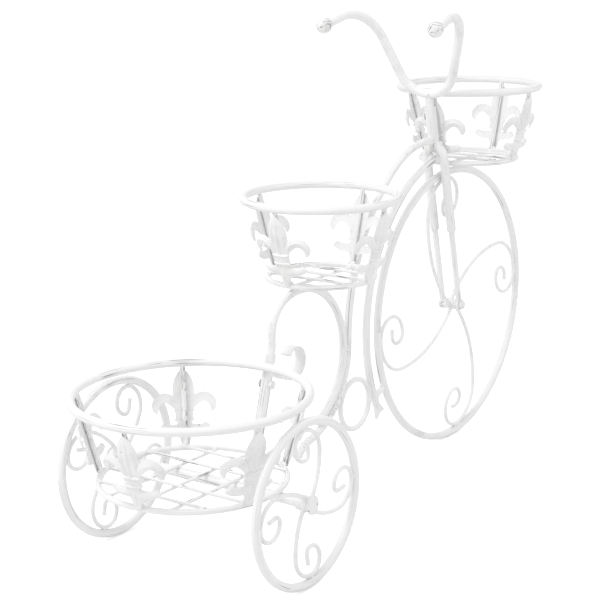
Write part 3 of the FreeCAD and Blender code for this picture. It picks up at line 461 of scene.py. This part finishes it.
# ------------------------------------------------------------------ operators
class PLANTSTAND_OT_paint(bpy.types.Operator):
    """Give every CAD piece its antique white paint, rubbed along its own length"""
    bl_idname = "plantstand.paint"
    bl_label = "Paint the frame"

    def execute(self, context):
        settings = context.scene.stand_paint
        ways = {}       # material: its pieces, the way its marks run and how worn it is
        for name in BASKETS:
            centre = tuple(middle(name + "_basket_floor_ring"))
            foot, head = rod_ends(name)
            slope = (head.x - foot.x) / (head.z - foot.z)
            ways[name + "_rings"] = ((name + "_basket_top_ring", name + "_basket_floor_ring"),
                                     lambda s, c=centre: round_flow(s, c, "Z"), 1.0)
            ways[name + "_rods"] = ((name + "_basket_rods",),
                                    lambda s, c=centre, k=slope: round_flow(s, c, "Z", k), 1.45)
        hub = tuple(FRONT_HUB)
        rear = tuple(REAR_HUB)
        arch = tuple(FRONT_HUB - Vector((ARCH_BEHIND_HUB, 0, 0)))
        ways["front_wheel"] = (("front_rim",), lambda s: round_flow(s, hub, "Y"), 1.0)
        ways["long_bows"] = (("guard_bar", "backbone_bar"), lambda s: round_flow(s, hub, "Y"), 1.2)
        ways["rear_wheels"] = (("rear_rim_left", "rear_rim_right"),
                               lambda s: round_flow(s, rear, "Y"), 1.0)
        ways["arch"] = (("arch_bar",), lambda s: round_flow(s, arch, "Y"), 1.0)
        ways["post"] = (("rear_post",), lambda s: straight_flow(s, POST_LEAN), 1.07)
        ways["fork"] = (("fork_rod_left", "fork_rod_right", "fork_sleeve_left", "fork_sleeve_right",
                         "head_tube", "stem"), lambda s: straight_flow(s, FORK_LEAN), 1.0)
        ways["axle"] = (("rear_axle", "fork_bridge"), lambda s: straight_flow(s, upright=False), 1.0)
        ways["floor_wires"] = (tuple(name + "_basket_floor_wires" for name in BASKETS), level_flow, 1.4)
        ways["scrolls"] = (("front_spokes", "rear_spokes_left", "rear_spokes_right", "scroll_strip",
                            "brace_ring", "rim_ties", "handlebar"), spot_flow, 0.0)
        ways["fittings"] = (("post_bolt", "post_nut", "head_screw", "front_axle_bolt", "front_axle_nut",
                             "front_hub", "rear_hub_left", "rear_hub_right", "axle_caps",
                             "axle_collars"), spot_flow, 1.0)
        done = set()
        for name, (pieces, flow, wear) in ways.items():
            dress(pieces, antique_white("paint_" + name, settings, flow, wear))
            done.update(pieces)
        knobs = [name for name in NODES if name.startswith("handle_knob")]
        dress(knobs, scored_knob("paint_knobs", settings))
        done.update(knobs)
        plates = [name for name in NODES if name.endswith("_fleurs")]
        dress(plates, antique_white("paint_under_plates", settings, spot_flow))
        missing = sorted(set(NODES) - done - set(plates))
        if missing:
            raise RuntimeError("not painted: " + ", ".join(missing))
        return {"FINISHED"}


class PLANTSTAND_OT_plates(bpy.types.Operator):
    """Cast the fleur-de-lis plates and set one on every basket rod"""
    bl_idname = "plantstand.plates"
    bl_label = "Cast the plates"

    def execute(self, context):
        settings = context.scene.stand_plates
        pattern = cast_plate(settings)
        pick(pattern)
        # How enclosed each point of the plate is, baked with Blender's dirt tool; the paint greys the
        # most enclosed points as painted shade.
        colours = pattern.data.color_attributes.new("hollow", "FLOAT_COLOR", "POINT")
        pattern.data.color_attributes.active_color = colours
        bpy.ops.object.mode_set(mode="VERTEX_PAINT")
        bpy.ops.paint.vertex_color_dirt(blur_strength=0.6, blur_iterations=1, clean_angle=math.pi,
                                        dirt_angle=0.0)
        bpy.ops.object.mode_set(mode="OBJECT")
        material = antique_white("paint_plates", context.scene.stand_paint, spot_flow, 0.4, True)
        pattern.data.materials.clear()
        pattern.data.materials.append(material)
        for name in BASKETS:
            floor = name + "_basket_floor_ring"
            foot, head = rod_ends(name)
            lean = math.atan2(head.x - foot.x, head.z - foot.z)
            seat = Vector((ROD_R + PLATE_SEAT, 0, (head - foot).length - PLATE_TIP_DROP))
            set_on_rod = (Matrix.Translation(foot) @ Matrix.Rotation(lean, 4, "Y")
                          @ Matrix.Translation(seat) @ Matrix.Rotation(-math.pi / 2, 4, "Z"))
            copies = []
            for angle in PLATE_ANGLES[name]:
                copy = pattern.copy()
                copy.data = pattern.data.copy()
                context.collection.objects.link(copy)
                turn = Matrix.Rotation(math.radians(angle), 4, "Z")
                copy.data.transform(Matrix.Translation((middle(floor).x, 0, 0)) @ turn @ set_on_rod)
                copies.append(copy)
            pick(*copies)
            bpy.ops.object.join()
            plates = context.object
            plates.name = name + "_basket_cast_plates"
            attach(plates, "stand")
            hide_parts(name + "_basket_fleurs")
        bpy.data.objects.remove(pattern)
        return {"FINISHED"}


UNWELDED = ("bolt", "nut", "screw", "cap", "knob", "fleurs")      # words in the names of such pieces
SAME_WELD = 0.004       # crossings this near each other belong to one weld
SPARSE = 5              # every fifth crossing of a weld is enough to tell
LOOSE_PAIRS = (("arch_bar", "rear_post"), ("fork_rod", "fork_sleeve"), ("head_tube", "stem"),
               ("front_hub", "fork_rod"), ("handlebar", "front_basket"), ("rear_hub", "rear_axle"),
               ("rear_hub", "axle_collars"), ("backbone_bar", "middle_basket"))


def tree_of(node, swell=0.0):
    mesh = NODES[node].data
    points = []
    faces = []
    for face in mesh.polygons:
        out = face.normal * swell
        faces.append(tuple(range(len(points), len(points) + len(face.vertices))))
        points += [mesh.vertices[i].co + out for i in face.vertices]
    return BVHTree.FromPolygons(points, faces), points, faces


def crossings(a, b):
    """Where the skins of two swollen pieces cross, gathered into one middle per place."""
    tree_a, points_a, faces_a = a
    tree_b, points_b, faces_b = b
    hits = []
    for ia, ib in tree_a.overlap(tree_b):
        one = [points_a[i] for i in faces_a[ia]]
        two = [points_b[i] for i in faces_b[ib]]
        for tri, other in ((one, two), (two, one)):
            for i in range(3):
                start = tri[i]
                way = tri[(i + 1) % 3] - start
                hit = geometry.intersect_ray_tri(other[0], other[1], other[2], way, start, True)
                if hit and (hit - start).length <= way.length:
                    hits.append(hit)
    groups = []
    for hit in hits:
        near = [group for group in groups
                if any((hit - other).length < SAME_WELD for other in group[::SPARSE])]
        if near:
            for group in near[1:]:
                near[0].extend(group)
                groups.remove(group)
            near[0].append(hit)
        else:
            groups.append([hit])
    return [sum(group, Vector()) / len(group) for group in groups]


def weld_places(names, reach):
    trees = {name: tree_of(name, reach / 2) for name in names}
    boxes = {name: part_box(name) for name in names}
    places = []
    for i, one in enumerate(names):
        for two in names[i + 1:]:
            pairs = LOOSE_PAIRS + tuple((b, a) for a, b in LOOSE_PAIRS)
            if any(one.startswith(a) and two.startswith(b) for a, b in pairs):
                continue
            (low_a, high_a), (low_b, high_b) = boxes[one], boxes[two]
            if any(low_a[k] > high_b[k] + reach or low_b[k] > high_a[k] + reach for k in range(3)):
                continue
            places += crossings(trees[one], trees[two])
    return places


class PLANTSTAND_OT_welds(bpy.types.Operator):
    """Lay a small lumpy weld bead wherever two bars of one body touch"""
    bl_idname = "plantstand.welds"
    bl_label = "Weld the bars"

    def execute(self, context):
        settings = context.scene.stand_welds
        deselect()
        bpy.ops.mesh.primitive_ico_sphere_add(subdivisions=3, radius=settings.bead)
        pattern = context.object
        lumps = bpy.data.textures.new("weld_lumps", "CLOUDS")
        lumps.noise_scale = settings.bead * 0.8
        apply_modifier(pattern, "DISPLACE", texture=lumps, strength=settings.bead * 0.5,
                       mid_level=0.5)
        pick(pattern)
        bpy.ops.object.shade_smooth()
        material = antique_white("paint_welds", context.scene.stand_paint, spot_flow, 0.5)
        pattern.data.materials.append(material)
        bodies = frame["record"]["behaviour"]["bodies"]
        for body, nodes in bodies.items():
            names = [name for name in sorted(nodes) if not any(word in name for word in UNWELDED)]
            beads = []
            for i, place in enumerate(weld_places(names, settings.reach)):
                bead = pattern.copy()
                bead.data = pattern.data.copy()
                context.collection.objects.link(bead)
                turn = Matrix.Rotation(i * 1.3, 4, "Z") @ Matrix.Rotation(i * 0.7, 4, "X")
                bead.data.transform(Matrix.Translation(place) @ turn)
                beads.append(bead)
            if not beads:
                raise RuntimeError("no welds found on " + body)
            pick(*beads)
            bpy.ops.object.join()
            context.object.name = "weld_beads_" + body
            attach(context.object, body)
        bpy.data.objects.remove(pattern)
        return {"FINISHED"}


FLOOR_RADIUS = 30.0
FLOOR_DROP = 0.0004         # keeps the wheels from sinking into the floor
FLOOR_LIFT = 0.36           # what the camera sees the floor glow by
CAMERA_FROM_HUB = (-1.8427, -1.0838)        # from the front hub, level
CAMERA_HEIGHT = 0.71705
CAMERA_YAW, CAMERA_PITCH, CAMERA_ROLL = (math.radians(angle) for angle in (36.067, -13.696, -0.763))
LAMP_AIM = Vector((0, 0, 0.25))
# Lamps: place, width and power as a share of the key light.
LAMPS = {"key": ((-1.5, 0.6, 2.4), 1.4, 1.0), "fill": ((1.2, -2.4, 1.8), 1.8, 0.35)}


class PLANTSTAND_OT_studio(bpy.types.Operator):
    """Set the pale floor, the soft lamps, the sky and the camera"""
    bl_idname = "plantstand.studio"
    bl_label = "Set the studio"

    def execute(self, context):
        settings = context.scene.stand_studio
        scene = context.scene
        scene.view_settings.view_transform = "Standard"
        deselect()
        bpy.ops.mesh.primitive_circle_add(vertices=96, radius=FLOOR_RADIUS, fill_type="NGON",
                                          location=(0, 0, -FLOOR_DROP))
        floor = context.object
        floor.name = "studio_floor"
        bpy.ops.object.transform_apply(location=True)
        shader = Shader("studio_white")
        shader.feed(Base_Color=(0.88, 0.88, 0.88, 1.0), Roughness=0.9, Specular_IOR_Level=0.0)
        tree = shader.tree
        glow = tree.nodes.new("ShaderNodeEmission")
        seen = tree.nodes.new("ShaderNodeLightPath")
        lift = shader.math("MULTIPLY", seen.outputs["Is Camera Ray"], FLOOR_LIFT)
        tree.links.new(lift, glow.inputs["Strength"])
        both = tree.nodes.new("ShaderNodeAddShader")
        tree.links.new(shader.surface.outputs[0], both.inputs[0])
        tree.links.new(glow.outputs[0], both.inputs[1])
        tree.links.new(both.outputs[0], tree.nodes["Material Output"].inputs["Surface"])
        floor.data.materials.append(shader.material)

        world = bpy.data.worlds.new("studio_sky")
        scene.world = world
        world.use_nodes = True
        nodes = world.node_tree.nodes
        links = world.node_tree.links
        sky = nodes["Background"]
        sky.inputs["Color"].default_value = (1, 1, 1, 1)
        sky.inputs["Strength"].default_value = settings.sky
        white = nodes.new("ShaderNodeBackground")
        white.inputs["Color"].default_value = (1, 1, 1, 1)
        white.inputs["Strength"].default_value = 1.0
        seen = nodes.new("ShaderNodeLightPath")
        either = nodes.new("ShaderNodeMath")
        either.operation = "MAXIMUM"
        links.new(seen.outputs["Is Camera Ray"], either.inputs[0])
        links.new(seen.outputs["Is Glossy Ray"], either.inputs[1])
        mixed = nodes.new("ShaderNodeMixShader")
        links.new(either.outputs[0], mixed.inputs[0])
        links.new(sky.outputs[0], mixed.inputs[1])
        links.new(white.outputs[0], mixed.inputs[2])
        links.new(mixed.outputs[0], nodes["World Output"].inputs["Surface"])

        for name, (place, width, share) in LAMPS.items():
            lamp = bpy.data.lights.new("studio_" + name, "AREA")
            lamp.shape = "DISK"
            lamp.size = width
            lamp.energy = settings.key * share
            holder = bpy.data.objects.new("studio_" + name, lamp)
            holder.location = place
            aim = LAMP_AIM - Vector(place)
            holder.rotation_euler = aim.to_track_quat("-Z", "Y").to_euler()
            context.collection.objects.link(holder)

        film = bpy.data.cameras.new("photo_camera")
        film.sensor_width = 36.0
        film.lens = settings.lens
        camera = bpy.data.objects.new("photo_camera", film)
        level = Vector((math.cos(CAMERA_YAW), math.sin(CAMERA_YAW), 0))
        ahead = math.cos(CAMERA_PITCH) * level + Vector((0, 0, math.sin(CAMERA_PITCH)))
        right = Vector((level.y, -level.x, 0))
        up = right.cross(ahead)
        tilted = math.cos(CAMERA_ROLL) * right + math.sin(CAMERA_ROLL) * up
        raised = math.cos(CAMERA_ROLL) * up - math.sin(CAMERA_ROLL) * right
        turn = Matrix((tilted, raised, -ahead)).transposed()
        place = Vector((FRONT_HUB.x + CAMERA_FROM_HUB[0], CAMERA_FROM_HUB[1], CAMERA_HEIGHT))
        camera.matrix_world = Matrix.Translation(place) @ turn.to_4x4()
        context.collection.objects.link(camera)
        scene.camera = camera
        return {"FINISHED"}


class PLANTSTAND_PT_panel(bpy.types.Panel):
    """Buttons and sizes of the plant stand"""
    bl_idname = "PLANTSTAND_PT_panel"
    bl_label = "Plant stand"
    bl_space_type = "VIEW_3D"
    bl_region_type = "UI"
    bl_category = "Plant stand"

    def draw(self, context):
        for group, step in STEPS:
            box = self.layout.box()
            settings = getattr(context.scene, group)
            for name in settings.bl_rna.properties.keys():
                if name not in ("rna_type", "name"):
                    box.prop(settings, name)
            box.operator(step)


SETTINGS = {"stand_paint": PaintSettings, "stand_plates": PlateSettings,
            "stand_welds": WeldSettings, "stand_studio": StudioSettings}
STEPS = (("stand_paint", "plantstand.paint"), ("stand_plates", "plantstand.plates"),
         ("stand_welds", "plantstand.welds"), ("stand_studio", "plantstand.studio"))
CLASSES = tuple(SETTINGS.values()) + (PLANTSTAND_OT_paint, PLANTSTAND_OT_plates, PLANTSTAND_OT_welds,
                                      PLANTSTAND_OT_studio, PLANTSTAND_PT_panel)


def register():
    for cls in CLASSES:
        bpy.utils.register_class(cls)
    for name, cls in SETTINGS.items():
        setattr(bpy.types.Scene, name, bpy.props.PointerProperty(type=cls))


def unregister():
    for name in SETTINGS:
        delattr(bpy.types.Scene, name)
    for cls in reversed(CLASSES):
        bpy.utils.unregister_class(cls)


def main():
    register()
    bpy.ops.plantstand.paint()
    bpy.ops.plantstand.plates()
    bpy.ops.plantstand.welds()
    bpy.ops.plantstand.studio()


if __name__ == "__main__":
    main()
